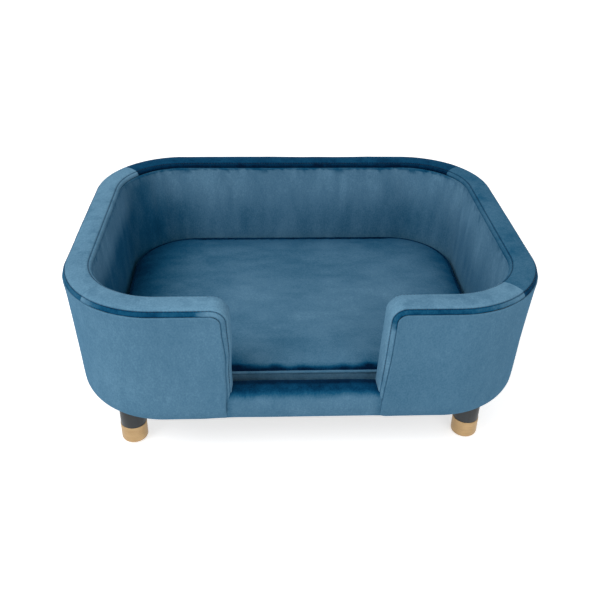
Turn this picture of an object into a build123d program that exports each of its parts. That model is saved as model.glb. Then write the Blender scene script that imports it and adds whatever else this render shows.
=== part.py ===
from build123d import *
import math
import os

os.makedirs("parts", exist_ok=True)

# A low upholstered dog sofa, in millimetres. It stands on the floor at Z = 0, its middle is
# over the origin and its open front faces -Y.
width = 700
depth = 540
height = 284
underside = 70
plan_radius = 145
wall = 42
lean = 12
overrun = 20

# Roundings of the padded wall: its lower edge, and the two edges of its rim
lower_round = 30
outer_edge = 14
inner_edge = 10

# The way in between the two arms, and the low sill across it
entry_low = 208
entry_top = 224
arm_corner = 25
sill_top = 134
sill_recess = 3
sill_back_recess = 4

# Velvet cover, its seams below the rim, and how far the rim band is tucked behind the sill
cover = 1.5
rim_seam_drop = 11.5
lining_seam_drop = 6
tuck = 10
back_seam_angle = 35
front_seam_angle = 45

# Foam between the velvet and the timber
outer_pad = 8
rim_pad = 10
inner_pad = 11
end_pad = 10

# Timber frame: base board with an upright edge above its bevel, rim rail, bent hardboards,
# studs and the posts at the arm ends
board = 18
board_flat = 3
rail = 15
hardboard = 3
stud = 24
post = 15
back_stud_shares = (-0.92, -0.3, 0.3, 0.92)
side_stud_shares = (-0.55, 0.55)
arm_stud_share = 0.3

# Turned legs with brass cups, screwed into tee nuts in the base board
leg_side_inset = 88
leg_end_inset = 73
leg_diameter = 39
cup_diameter = 40.5
cup_height = 32
cup_wall = 1.5
cup_round = 4
glide_diameter = 30
glide = 2
bolt_diameter = 8
bolt_in_leg = 25
flange_diameter = 22
flange = 1.6
barrel_diameter = 11
barrel_length = 12

# Loose box cushion, its clearances in the tub, how much rounder its corners are than the
# tub's, and its crown
side_clearance = 6
back_clearance = 4.2
front_clearance = 5
rest_clearance = 0.3
corner_ease = 15
boxing = 40
crown = 9
draw_in = 2.5
side_draw_in = 2
cushion_cloth = 1.2
piping_width = 5
piping_bevel = 1.5

# Zip in the back of the cushion
zip_tape = 26
zip_end_margin = 8
chain_width = 6
chain_proud = 1
slider_length = 12
slider_width = 9
slider_plate = 1.6
slider_gap = 0.3
bridge_width = 3
bridge_rise = 1.6
pull_width = 6
pull_length = 18
pull_thickness = 1.1

# Insets from the rim's outer edge, and heights, that several pieces share
frame_outer = cover + outer_pad
frame_inner = wall - cover - inner_pad
board_edge = frame_outer + hardboard
board_bottom = underside + cover
deck = board_bottom + board
rail_top = height - cover - rim_pad
rail_bottom = rail_top - rail
post_depth = cover + end_pad
lean_angle = math.degrees(math.atan2(lean, height - underside))
corner_x = width / 2 - plan_radius
corner_y = depth / 2 - plan_radius
board_bevel = min(lower_round - board_edge + cover, board - board_flat)


def save(node, shape):
    """Write one sub-part under its node name."""
    export_step(shape, os.path.join("parts", node + ".step"))


def block(low, high):
    """Box between two opposite corners."""
    size = [b - a for a, b in zip(low, high)]
    return Pos(*low) * Box(*size, align=(Align.MIN, Align.MIN, Align.MIN))


def inset_at(inset, level):
    """Inset of a wall surface at a height: its inset at the rim and its share of the lean."""
    return inset + lean * (height - level) / (height - underside)


def plan(inset):
    """Rounded outline of the bed seen from above, drawn in by an inset, all corners concentric."""
    return RectangleRounded(width - 2 * inset, depth - 2 * inset, plan_radius - inset)


def leaned(inset, bottom, top):
    """Solid inside a wall surface that leans inwards as it goes down."""
    face = Plane.XY.offset(top) * plan(inset_at(inset, top))
    return extrude(face, amount=top - bottom, dir=(0, 0, -1), taper=lean_angle)


def ring(outer, inner, bottom, top):
    """Wall between two leaning surfaces, all the way round."""
    return leaned(outer, bottom, top) - leaned(inner, bottom - overrun, top + overrun)


def entry_x(level):
    """Half width of the way in at a height: its sides lean outwards as they go up."""
    return (entry_low + (entry_top - entry_low) * (level - underside) / (height - underside)) / 2


def entry(offset):
    """The way in, widened by an offset, cut through the front wall from below to above."""
    low, high = underside - overrun, height + overrun
    low_x, high_x = entry_x(low) + offset, entry_x(high) + offset
    outline = Polyline((-low_x, low), (low_x, low), (high_x, high), (-high_x, high), close=True)
    return extrude(Plane.XZ * make_face(outline), amount=depth)


def arm_space(offset):
    """Space below the rim and outside the way in, drawn in by an offset, its corners rounded."""
    bottom, top, far = underside - overrun, height - offset, width
    space = block((-far, 0, 0), (far, far, top))
    for side in (-1, 1):
        low_x, high_x = entry_x(bottom) + offset, entry_x(top) + offset
        outline = Polyline((side * low_x, bottom), (side * high_x, top), (side * far, top),
                           (side * far, bottom), close=True)
        face = make_face(outline)
        inner_corner = face.vertices().sort_by(Axis.Y)[-2:].sort_by(lambda v: abs(v.X))[0]
        face = fillet(inner_corner, max(arm_corner - offset, cover))
        space += extrude(Plane.XZ * face, amount=depth)
    return space


def below_seam(drop):
    """Space below a seam that follows the rim, and the edge of the way in down to the sill."""
    return arm_space(drop) + block((-width, -width, 0), (width, 0, sill_top - tuck))


def wall_body(skin):
    """Padded wall with arms, drawn in by a skin thickness on every face and rounded all round."""
    outer = leaned(skin, underside + skin, height - skin)
    outer = fillet(outer.faces().sort_by(Axis.Z)[0].edges(), lower_round - skin)
    cavity = leaned(wall - skin, underside - overrun, height + overrun)
    body = outer - cavity - entry(skin)
    ends = body.edges().filter_by(Axis.Y).group_by(Axis.Z)[-1]
    ends = [edge for edge in ends if abs(edge.center().X) < corner_x]
    body = fillet(ends, arm_corner - skin)
    for radius, pick in ((outer_edge, -1), (inner_edge, 0)):
        rim = [edge for edge in body.edges().filter_by(Axis.X)
               if edge.center().Y > 0 and edge.center().Z > height - skin - inner_edge / 2]
        rim.sort(key=lambda edge: edge.center().Y)
        body = fillet(rim[pick], radius - skin)
    return body


def sector(first, second):
    """Upright prism between two rays that leave two corner centres of the plan."""
    outline = Polyline(first[0], first[1], second[1], second[0], close=True)
    return extrude(make_face(outline), amount=height + overrun)


def ray(side_x, side_y, angle):
    """Corner centre of the plan and a point outside the bed, at an angle to the X axis."""
    turn = math.radians(angle)
    start = (side_x * corner_x, side_y * corner_y)
    reach = width / 2
    end = (start[0] + side_x * reach * math.cos(turn), start[1] + side_y * reach * math.sin(turn))
    return start, end


# Zones in plan: the back between its two mitre seams, each side, and each half of the front
back_left = ray(-1, 1, back_seam_angle)
back_right = ray(1, 1, back_seam_angle)
front_left = ray(-1, -1, front_seam_angle)
front_right = ray(1, -1, front_seam_angle)
front_middle = ((0, -corner_y), (0, -depth))
zones = {
    "back": sector(back_left, back_right),
    "left": sector(back_left, front_left),
    "right": sector(back_right, front_right),
    "front_left": sector(front_left, front_middle),
    "front_right": sector(front_right, front_middle),
}
left_half = block((-width, -width, 0), (0, width, height + overrun))
right_half = block((0, -width, 0), (width, width, height + overrun))
straight_back = block((-corner_x, 0, 0), (corner_x, depth, height + overrun))

# The base board before its holes: everything in the wall stands on it or goes round it
board_blank = leaned(board_edge, board_bottom, deck)
board_blank = chamfer(board_blank.faces().sort_by(Axis.Z)[0].edges(), board_bevel)

# Velvet over the wall: a rim band that also runs down the arm ends, the panels outside below
# the seam, and the lining inside. Every piece is a part of one skin, so they meet seam to seam.
whole_wall = wall_body(0)
wall_core = wall_body(cover)
skin = whole_wall - wall_core
inner_half = leaned(wall / 2, board_bottom, height + overrun)
outer_skin = skin - inner_half
inner_skin = skin & inner_half
panel_space = below_seam(rim_seam_drop)
lining_space = below_seam(lining_seam_drop)
panels = (outer_skin & panel_space) - board_blank
lining = (inner_skin & lining_space) - block((-width, -width, 0), (width, width, deck))
band = (outer_skin - panel_space) + (inner_skin - lining_space)

for place, zone in zones.items():
    save("outer_panel_" + place, panels & zone)
    save("rim_band_" + place, band & zone)
save("lining_back", lining & zones["back"])
save("lining_left", (lining & left_half) - zones["back"])
save("lining_right", (lining & right_half) - zones["back"])


def sill_profile(skin):
    """Section of the sill on the plane X = 0, drawn in by a skin thickness, edges rounded."""
    bottom, top = underside + skin, sill_top - skin
    front, back = sill_recess + skin, wall - sill_back_recess - skin
    outline = Polyline((inset_at(front, bottom) - depth / 2, bottom),
                       (inset_at(front, top) - depth / 2, top),
                       (inset_at(back, top) - depth / 2, top),
                       (inset_at(back, bottom) - depth / 2, bottom), close=True)
    face = make_face(outline)
    lower = face.vertices().sort_by(lambda v: v.X + v.Y)[0]
    face = fillet(lower, lower_round - sill_recess - skin)
    upper = face.vertices().sort_by(lambda v: v.X - v.Y)[0]
    face = fillet(upper, outer_edge - skin)
    inner = face.vertices().sort_by(lambda v: -v.X - v.Y)[0]
    return fillet(inner, inner_edge - skin)


def sill_body(skin):
    """Sill between the arms: it fills the space up to their rounded velvet edges."""
    reach = entry_low / 2 + outer_edge
    body = extrude(Plane.YZ.offset(-reach) * sill_profile(skin), amount=2 * reach)
    return body - whole_wall


# Base board, with its edge bevelled under the padding and counterbored for the tee nuts
leg_x = width / 2 - leg_side_inset
leg_y = depth / 2 - leg_end_inset
leg_places = {
    "front_left": (-leg_x, -leg_y),
    "front_right": (leg_x, -leg_y),
    "rear_left": (-leg_x, leg_y),
    "rear_right": (leg_x, leg_y),
}
base_board = board_blank


def upright(diameter, bottom, top):
    """Upright round bar over the origin."""
    standing = (Align.CENTER, Align.CENTER, Align.MIN)
    return Pos(0, 0, bottom) * Cylinder(diameter / 2, top - bottom, align=standing)


flange_bottom = deck - flange
barrel_bottom = flange_bottom - barrel_length
tee_nut = upright(flange_diameter, flange_bottom, deck)
tee_nut += upright(barrel_diameter, barrel_bottom, flange_bottom)
leg_bolt = upright(bolt_diameter, underside - bolt_in_leg, flange_bottom)
tee_nuts = []
leg_bolts = []
for x, y in leg_places.values():
    base_board -= Pos(x, y, 0) * tee_nut
    base_board -= Pos(x, y, 0) * upright(bolt_diameter, underside, barrel_bottom)
    tee_nuts.append(Pos(x, y, 0) * (tee_nut - upright(bolt_diameter, underside, flange_bottom)))
    leg_bolts.append(Pos(x, y, 0) * leg_bolt)
save("base_board", base_board)
save("leg_tee_nuts", Compound(children=tee_nuts))
save("leg_bolts", Compound(children=leg_bolts))

# Sill: a rail on the base board, foam over it and its own velvet cover
sill_core = sill_body(cover)
sill_inner = block((-width, -depth, 0), (width, 0, deck)) & leaned(wall / 2, board_bottom, height)
sill_cover = (sill_body(0) - sill_core) - sill_inner
sill_rail = ring(frame_outer, frame_inner, deck, sill_top - cover - rim_pad) & entry(-cover)
save("sill_cover", sill_cover)
save("sill_rail", sill_rail)
save("sill_pad", sill_core - sill_rail - board_blank - sill_inner)

# Timber and hardboard inside the wall
frame_ring = ring(frame_outer, frame_inner, deck, rail_top)
frame_zone = frame_ring & arm_space(post_depth)
lap_bottom = board_bottom + board_bevel
past_post = entry(post_depth + post)
end_posts = frame_zone & past_post & block((-width, -depth, 0), (width, 0, height))
rim_rail = ring(frame_outer, frame_inner, rail_bottom, rail_top) - past_post
outer_hardboard = ring(frame_outer, board_edge, lap_bottom, rail_bottom) - past_post
inner_hardboard = ring(frame_inner - hardboard, frame_inner, deck, rail_bottom) - past_post
stud_space = ring(board_edge, frame_inner - hardboard, deck, rail_bottom)
save("end_post_left", end_posts & left_half)
save("end_post_right", end_posts & right_half)
save("rim_rail", rim_rail)
save("outer_hardboard", outer_hardboard)
save("inner_hardboard", inner_hardboard)

# Studs between the hardboards: four along the back, two on each side, one in each rounded
# corner, where it stands across the curve, and one in each arm, between its post and that stud
stud_places = []
corner_reach = plan_radius * math.sqrt(1 / 2)
post_end = entry_x(height) + post_depth + post
arm_stud_x = post_end + arm_stud_share * (corner_x + corner_reach - post_end)
for share in back_stud_shares:
    stud_places.append((share * corner_x, depth / 2, 0))
for side in (-1, 1):
    for share in side_stud_shares:
        stud_places.append((side * width / 2, share * corner_y, 90))
    for end in (-1, 1):
        corner_stud = (side * (corner_x + corner_reach), end * (corner_y + corner_reach))
        stud_places.append((*corner_stud, -45 * side * end))
    stud_places.append((side * arm_stud_x, -depth / 2, 0))
stud_bar = block((-stud / 2, -wall, deck), (stud / 2, wall, rail_bottom))
studs = []
for x, y, turn in stud_places:
    studs += (stud_space & Pos(x, y, 0) * Rot(0, 0, turn) * stud_bar).solids()
save("wall_studs", Compound(children=studs))

# Foam: an outer wrap, a strip over the rim and an inner layer, each in three lengths that meet
# in the corners, and a pad on each arm end
above_rail = block((-width, -width, rail_top), (width, width, height))
outer_foam = wall_core - leaned(frame_outer, lap_bottom, rail_top) - board_blank - above_rail
rim_foam = wall_core & above_rail
inner_foam = wall_core & leaned(frame_inner, deck, rail_top)
end_foam = (wall_core & frame_ring) - frame_zone
for name, layer in (("outer_pad", outer_foam), ("rim_pad", rim_foam), ("inner_pad", inner_foam)):
    save(name + "_back", layer & straight_back)
    save(name + "_left", (layer & left_half) - straight_back)
    save(name + "_right", (layer & right_half) - straight_back)
end_space = block((-corner_x, -depth, 0), (corner_x, 0, height))
save("end_pad_left", end_foam & left_half & end_space)
save("end_pad_right", end_foam & right_half & end_space)

# Cloth on the deck under the cushion, and the dust cover under the base board
deck_cloth = leaned(wall, deck, deck + cover)
dust_cover = leaned(wall, underside, board_bottom)
for x, y in leg_places.values():
    dust_cover -= Pos(x, y, 0) * upright(bolt_diameter, 0, height)
save("deck_cloth", deck_cloth)
save("dust_cover", dust_cover)


def turned_leg():
    """Turned leg: a plain round shank with a tenon that fills the brass cup."""
    shank = upright(leg_diameter, cup_height, underside)
    tenon = upright(cup_diameter - 2 * cup_wall, glide + cup_wall, cup_height)
    tenon = chamfer(tenon.faces().sort_by(Axis.Z)[0].edges(), cup_round - cup_wall)
    return shank + tenon - upright(bolt_diameter, underside - bolt_in_leg, underside)


def brass_cup():
    """Brass cup on the foot of a leg, its lower edge rounded."""
    outside = upright(cup_diameter, glide, cup_height)
    outside = fillet(outside.faces().sort_by(Axis.Z)[0].edges(), cup_round)
    inside = upright(cup_diameter - 2 * cup_wall, glide + cup_wall, cup_height)
    inside = chamfer(inside.faces().sort_by(Axis.Z)[0].edges(), cup_round - cup_wall)
    return outside - inside


leg = turned_leg()
cup = brass_cup()
for place, (x, y) in leg_places.items():
    save("leg_" + place, Pos(x, y, 0) * leg)
    save("brass_cup_" + place, Pos(x, y, 0) * cup)
glides = [Pos(x, y, 0) * upright(glide_diameter, 0, glide) for x, y in leg_places.values()]
save("leg_glides", Compound(children=glides))

# Loose cushion: it fills the tub but for its clearances. Its front and sides are drawn in
# between the corners, its back is straight because of the zip.
tub_inset = inset_at(wall, deck)
cushion_x = width / 2 - tub_inset - side_clearance
cushion_back = depth / 2 - tub_inset - back_clearance
cushion_corner = plan_radius - tub_inset + corner_ease
cushion_front = tub_inset + front_clearance - depth / 2
cushion_bottom = deck + cover + rest_clearance
cushion_seam = cushion_bottom + boxing
cushion_middle = (cushion_front + cushion_back) / 2


def cushion_outline(inset, corner):
    """Outline of the cushion seen from above, with arcs along the front and the sides."""
    x, front, back = cushion_x - inset, cushion_front + inset, cushion_back - inset
    edges = [
        ThreePointArc((-x, front), (0, front + draw_in), (x, front)),
        ThreePointArc((x, front), (x - side_draw_in, cushion_middle), (x, back)),
        Line((x, back), (-x, back)),
        ThreePointArc((-x, back), (side_draw_in - x, cushion_middle), (-x, front)),
    ]
    face = make_face(edges)
    return fillet(face.vertices(), corner)


def slab(inset, bottom, top):
    """Upright part of the cushion between two heights."""
    outline = cushion_outline(inset, cushion_corner - inset)
    return extrude(Pos(0, 0, bottom) * outline, amount=top - bottom)


def under_crown(drop):
    """Space under the crown: two wide arches, one along the cushion and one across it."""
    seam = cushion_seam - drop
    half_y = (cushion_back - cushion_front) / 2
    arches = []
    for plane, middle, half in ((Plane.XZ, 0, cushion_x), (Plane.YZ, cushion_middle, half_y)):
        first, last = middle - half - piping_width, middle + half + piping_width
        arch = ThreePointArc((first, seam), (middle, seam + crown), (last, seam))
        sides = Polyline((last, seam), (last, underside), (first, underside), (first, seam))
        arches.append(extrude(plane * make_face([arch, *sides.edges()]), amount=width, both=True))
    return arches[0] & arches[1]


def piping_ring(bottom):
    """Space of a piping: a band along the outline, half inside and half outside the boxing."""
    half = piping_width / 2
    return slab(-half, bottom, bottom + piping_width) - slab(half, bottom - overrun, bottom + overrun)


def piping(ring_space):
    """Piping sewn into a seam, its section an octagon."""
    flats = ring_space.faces().filter_by(Axis.Z)
    return chamfer([edge for flat in flats for edge in flat.edges()], piping_bevel)


crown_space = under_crown(0)
lining_crown = under_crown(cushion_cloth)
top_ring = piping_ring(cushion_seam - piping_width / 2)
bottom_ring = piping_ring(cushion_bottom)
high = cushion_seam + crown + overrun
inside_cloth = slab(cushion_cloth, cushion_bottom + cushion_cloth, high)
cushion_top = (slab(0, cushion_bottom, high) & crown_space) - lining_crown - top_ring
boxing_ring = (slab(0, cushion_bottom + cushion_cloth, high) & lining_crown) - inside_cloth
cushion_foam = (inside_cloth & lining_crown) - top_ring - bottom_ring

# The zip fills a slot in the back of the boxing; its chain stands proud of the tape
zip_half = cushion_x - cushion_corner - zip_end_margin
zip_level = (cushion_bottom + cushion_seam) / 2
slot = block((-zip_half, cushion_back - cushion_cloth, zip_level - zip_tape / 2),
             (zip_half, cushion_back, zip_level + zip_tape / 2))
chain = block((-zip_half, cushion_back, zip_level - chain_width / 2),
              (zip_half, cushion_back + chain_proud, zip_level + chain_width / 2))
save("cushion_foam", cushion_foam)
save("cushion_top", cushion_top)
save("cushion_boxing", boxing_ring - slot - top_ring - bottom_ring)
save("cushion_base", slab(0, cushion_bottom, cushion_bottom + cushion_cloth) - bottom_ring)
save("cushion_piping_top", piping(top_ring))
save("cushion_piping_bottom", piping(bottom_ring))
save("zip_tape", slot)
save("zip_chain", chain)

# Slider on the zip chain, at the left end of its travel, with a flat pull hanging from its bridge
slider_x = -zip_half + slider_length
slider_back = cushion_back + slider_gap
plate_back = cushion_back + chain_proud + slider_gap
plate_front = plate_back + slider_plate
half_slider = slider_length / 2
slider = block((slider_x - half_slider, slider_back, zip_level - slider_width / 2),
               (slider_x + half_slider, plate_front, zip_level + slider_width / 2))
slider -= block((slider_x - slider_length, cushion_back, zip_level - chain_width / 2 - slider_gap),
                (slider_x + slider_length, plate_back, zip_level + chain_width / 2 + slider_gap))
bridge = block((slider_x - bridge_width / 2, plate_front, zip_level - slider_plate / 2),
               (slider_x + bridge_width / 2, plate_front + bridge_rise, zip_level + slider_plate / 2))
save("zip_slider", slider + bridge)
pull_top = zip_level + slider_plate
pull = block((slider_x - pull_width / 2, plate_front, pull_top - pull_length),
             (slider_x + pull_width / 2, plate_front + pull_thickness, pull_top))
save("zip_pull", pull - bridge)

print("zip travel", round(2 * zip_half - 2 * slider_length, 1), "cushion", round(2 * cushion_x, 1),
      "by", round(cushion_back - cushion_front, 1), "seam", round(cushion_seam, 1))
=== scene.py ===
import itertools
import math
import bpy
import numpy as np
from mathutils import Matrix, Vector


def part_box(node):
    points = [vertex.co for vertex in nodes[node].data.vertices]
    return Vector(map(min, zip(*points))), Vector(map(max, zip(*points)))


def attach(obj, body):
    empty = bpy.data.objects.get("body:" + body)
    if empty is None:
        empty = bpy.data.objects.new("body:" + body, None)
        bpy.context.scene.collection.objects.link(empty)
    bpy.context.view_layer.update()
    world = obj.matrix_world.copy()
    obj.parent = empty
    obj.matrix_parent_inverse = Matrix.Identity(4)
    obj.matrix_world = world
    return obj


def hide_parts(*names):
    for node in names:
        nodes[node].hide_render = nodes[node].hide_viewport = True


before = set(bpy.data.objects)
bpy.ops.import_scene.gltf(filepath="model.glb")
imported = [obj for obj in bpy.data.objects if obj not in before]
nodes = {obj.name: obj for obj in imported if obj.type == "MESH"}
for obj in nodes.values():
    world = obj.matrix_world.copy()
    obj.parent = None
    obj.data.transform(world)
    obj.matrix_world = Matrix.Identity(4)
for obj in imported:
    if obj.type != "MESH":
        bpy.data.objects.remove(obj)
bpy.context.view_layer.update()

# Outside panels. Five lengths of velvet over foam, sewn to the rim band above and turned in under
# the base board. Each is a closed shell whose outside follows the wall: a rounded rectangle in
# plan that leans inwards as it goes down.
half_width, half_depth = 0.350, 0.270
rim_top, underside = 0.284, 0.070
plan_radius, lean = 0.145, 0.012
lower_round, outer_round = 0.030, 0.014
arm_round, half_entry_low, half_entry_top = 0.025, 0.104, 0.112
velvet, seam_lip, outer_drop = 0.0015, 0.0016, 0.0115
corner_x, corner_y = half_width - plan_radius, half_depth - plan_radius
quarter = plan_radius * math.pi / 2
front_start = corner_x + 2 * corner_y + 2 * quarter
back_mitre = corner_x + plan_radius * math.radians(50)
front_mitre = corner_x + quarter + 2 * corner_y + plan_radius * math.radians(45)


def smooth(low, high, value):
    """Soft step: 0 below low, 1 above high, and the curve 3t^2 - 2t^3 between them."""
    t = np.clip((value - low) / (high - low), 0, 1)
    return t * t * (3 - 2 * t)


def noise(points, size, seed):
    """Smooth noise from -1 to 1: random values at the corners of cubes of a size, blended by the
    curve 3t^2 - 2t^3 along each side."""
    lattice = np.random.default_rng(seed).uniform(-1, 1, (32, 32, 32))
    cell = np.asarray(points) / size
    low = np.floor(cell).astype(int)
    part = cell - low
    part = part * part * (3 - 2 * part)
    total = np.zeros(cell.shape[:-1])
    for corner in itertools.product((0, 1), repeat=3):
        weight = np.prod(np.where(corner, part, 1 - part), axis=-1)
        place = (low + corner) % 32
        total += weight * lattice[place[..., 0], place[..., 1], place[..., 2]]
    return total


def on_line(lengths):
    """Points at some lengths along the first axis."""
    return np.stack([lengths, 0 * lengths, 0 * lengths], -1)


def unit(vectors):
    """Vectors brought to length 1."""
    return vectors / np.maximum(np.linalg.norm(vectors, axis=-1, keepdims=True), 1e-12)


def leaned(z):
    """How far the wall has leaned inwards at a height: in proportion to the drop from the rim."""
    return lean * (rim_top - z) / (rim_top - underside)


def wall_turn(far):
    """Angle the wall has turned through at a distance along it from the middle of the back: in
    each of two quarter turns, the length run round the corner over its radius."""
    turn = np.clip((far - corner_x) / plan_radius, 0, math.pi / 2)
    return turn + np.clip((far - front_start + quarter) / plan_radius, 0, math.pi / 2)


def wall_point(s, inset, z):
    """Point of the wall at a station, an inset from its outside face and a height. The station is
    the length in metres along the outside face from the middle of the back, right for positive s:
    straight, quarter turn, straight, quarter turn, straight. The point lies square to the
    rectangle through the corners' centres, at their radius less the inset and the lean."""
    side, far = np.where(s < 0, -1.0, 1.0), np.abs(s)
    turn = wall_turn(far)
    x = np.minimum(far, corner_x) - np.maximum(far - front_start, 0)
    y = corner_y - np.clip(far - corner_x - quarter, 0, 2 * corner_y)
    reach = plan_radius - inset - leaned(z)
    return np.stack([side * (x + np.sin(turn) * reach), y + np.cos(turn) * reach, z + 0 * x], -1)


def entry_x(z):
    """Half width of the way in at a height, along a straight line from below to the top."""
    return half_entry_low + (half_entry_top - half_entry_low) * (z - underside) / (rim_top - underside)


def shift_to_entry(s, edge, end):
    """Stations of a front length drawn along the front until the last one lies at the half width
    edge, and how far each then is from that edge."""
    share = (corner_x - edge) / (end - front_start)
    s = np.where(s > front_start, front_start + (s - front_start) * share, s)
    return s, np.maximum(corner_x - (s - front_start) - edge, 0)


def corner_distance(a, b, radius):
    """Distance to an outline of two square edges at distances a and b: the shorter one, and in
    the rounded corner its radius less the distance from its centre."""
    near = (a < radius) & (b < radius)
    return np.where(near, radius - np.hypot(radius - a, radius - b), np.minimum(a, b))


def round_depth(distance, radius):
    """How far a quarter-round edge lies behind its face, at a distance from the edge: the radius
    less the height of the circle there."""
    rest = np.clip(radius - distance, 0, radius)
    return radius - np.sqrt(radius ** 2 - rest ** 2)


def seam_roll(distance):
    """How deep the velvet rolls in at a distance from a seam: a quarter round, made deeper."""
    return 1.3 * round_depth(distance, seam_lip)


def spans(*steps):
    """Places from 0 up to the number of spans, each span with its own number of even steps."""
    return np.concatenate([k + np.arange(n) / n for k, n in enumerate(steps)])


def fine_ends(length, step, edge=(0, 0.0003, 0.0008, 0.0016, 0.003, 0.0055)):
    """Places along a length: close together at both ends, where a seam rolls in."""
    middle = np.linspace(edge[-1] + step, length - edge[-1] - step, max(2, round(length / step) - 3))
    return np.concatenate([edge, middle, length - np.array(edge[::-1])])


def in_order(*places):
    """Lists of places made one, in order and without doubles."""
    return np.unique(np.round(np.concatenate(places), 6))


def near_edge(radius, steps):
    """Distances from an edge at even steps round a quarter circle that ends there."""
    return radius * (1 - np.cos(np.linspace(0, math.pi / 2, steps)))[1:]


def grid_normals(grid):
    """Unit normals of a grid of points, from its two directions."""
    return unit(np.cross(np.gradient(grid, axis=0), np.gradient(grid, axis=1)))


def grid_faces(rows, columns, start=0):
    """Four-sided faces between the points of a grid, counted row by row."""
    i, j = np.meshgrid(np.arange(rows - 1), np.arange(columns - 1), indexing="ij")
    a = (start + i * columns + j).ravel()
    return np.stack([a, a + columns, a + columns + 1, a + 1], -1)


def ring_faces(low, high):
    """Four-sided faces between closed rings of points and the rings that follow them."""
    return np.stack([low, np.roll(low, -1, 1), np.roll(high, -1, 1), high], -1).reshape(-1, 4)


def edge_loop(grid):
    """Values of a grid along its edge, once round."""
    return np.concatenate([grid[0, :-1], grid[:-1, -1], grid[-1, :0:-1], grid[:0:-1, 0]])


def add_object(name, data):
    """Object of a mesh, a lamp or a camera, put into the scene."""
    made = bpy.data.objects.new(name, data)
    bpy.context.collection.objects.link(made)
    return made


def new_piece(name, points, faces, material, body="sofa"):
    """Mesh piece in the row frame that rides on a body, shaded smooth."""
    mesh = bpy.data.meshes.new(name)
    mesh.from_pydata(points.tolist(), [], faces if isinstance(faces, list) else faces.tolist())
    mesh.polygons.foreach_set("use_smooth", np.ones(len(mesh.polygons), bool))
    mesh.materials.append(material)
    piece = add_object(name, mesh)
    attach(piece, body)
    return piece


def set_nap_and_light(piece, nap_and_light):
    """Tone at each point, from 0, dark, where the pile is brushed away, to 1, light, where it is brushed
    up; the values also carry painted light and shade, set for how light falls on each part. The inside of a
    shell repeats the values of its outside."""
    attribute = piece.data.attributes.new("nap_and_light", "FLOAT", "POINT")
    values = np.resize(np.clip(nap_and_light, 0, 1), len(piece.data.vertices))
    attribute.data.foreach_set("value", values.astype(np.float32))


def shell(name, outside, nap_and_light, material, thickness=velvet, turned=False, body="sofa"):
    """Closed shell: the outside grid, the same grid set back along its normals, and a strip
    that joins their edges all the way round."""
    rows, columns = outside.shape[:2]
    normals = grid_normals(outside) * (-1 if turned else 1)
    points = np.concatenate([outside.reshape(-1, 3), (outside - normals * thickness).reshape(-1, 3)])
    count = rows * columns
    rim = edge_loop(np.arange(count).reshape(rows, columns))[None]
    faces = np.concatenate([grid_faces(rows, columns), grid_faces(rows, columns, count)[:, ::-1],
                            ring_faces(rim, rim + count)])
    piece = new_piece(name, points, faces[:, ::-1] if turned else faces, material, body)
    set_nap_and_light(piece, nap_and_light)
    return piece


def upholster(piece, fill, *stands_for):
    """Hide the solids of cloth and foam that a padded piece stands in for."""
    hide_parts(*stands_for)


def set_inputs(node, values):
    """Fixed values of a node's inputs, by their names."""
    for name, value in values.items():
        node.inputs[name].default_value = value


def new_material(name, roughness, metallic=0.0):
    """Material with a Principled shader, and its node tree."""
    material = bpy.data.materials.new(name)
    material.use_nodes = True
    tree = material.node_tree
    shader = tree.nodes["Principled BSDF"]
    set_inputs(shader, {"Roughness": roughness, "Metallic": metallic})
    return material, tree, shader


def srgb(red, green, blue):
    """Linear colour of a colour given as it shows on a screen, from 0 to 255."""
    value = np.array([red, green, blue]) / 255
    linear = np.where(value <= 0.04045, value / 12.92, ((value + 0.055) / 1.055) ** 2.4)
    return (*linear.tolist(), 1.0)


def texture(tree, scale, stretch=(1, 1, 1), detail=2.0, kind="ShaderNodeTexNoise"):
    """Value of a noise or wave on the object's own coordinates, stretched along its axes."""
    place = tree.nodes.new("ShaderNodeTexCoord")
    mapping = tree.nodes.new("ShaderNodeMapping")
    pattern = tree.nodes.new(kind)
    set_inputs(mapping, {"Scale": stretch})
    set_inputs(pattern, {"Scale": scale, "Detail": detail})
    tree.links.new(place.outputs["Object"], mapping.inputs["Vector"])
    tree.links.new(mapping.outputs["Vector"], pattern.inputs["Vector"])
    return pattern.outputs["Fac"]


def calculate(tree, operation, *values):
    """Math node on sockets or plain numbers."""
    result = tree.nodes.new("ShaderNodeMath")
    result.operation = operation
    for place, value in enumerate(values):
        if isinstance(value, (int, float)):
            result.inputs[place].default_value = value
        else:
            tree.links.new(value, result.inputs[place])
    return result.outputs[0]


def colour_by(tree, shader, factor, stops):
    """Base colour from a ramp between stops of (place, colour as it shows on a screen)."""
    band = tree.nodes.new("ShaderNodeValToRGB")
    elements = band.color_ramp.elements
    elements[0].position, elements[1].position = stops[0][0], stops[-1][0]
    elements[0].color, elements[1].color = srgb(*stops[0][1]), srgb(*stops[-1][1])
    for place, colour in stops[1:-1]:
        elements.new(place).color = srgb(*colour)
    tree.links.new(factor, band.inputs["Fac"])
    tree.links.new(band.outputs["Color"], shader.inputs["Base Color"])


def bump(tree, shader, height, strength, distance):
    """Fine relief from a height texture."""
    relief = tree.nodes.new("ShaderNodeBump")
    set_inputs(relief, {"Strength": strength, "Distance": distance})
    tree.links.new(height, relief.inputs["Height"])
    tree.links.new(relief.outputs["Normal"], shader.inputs["Normal"])


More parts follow.
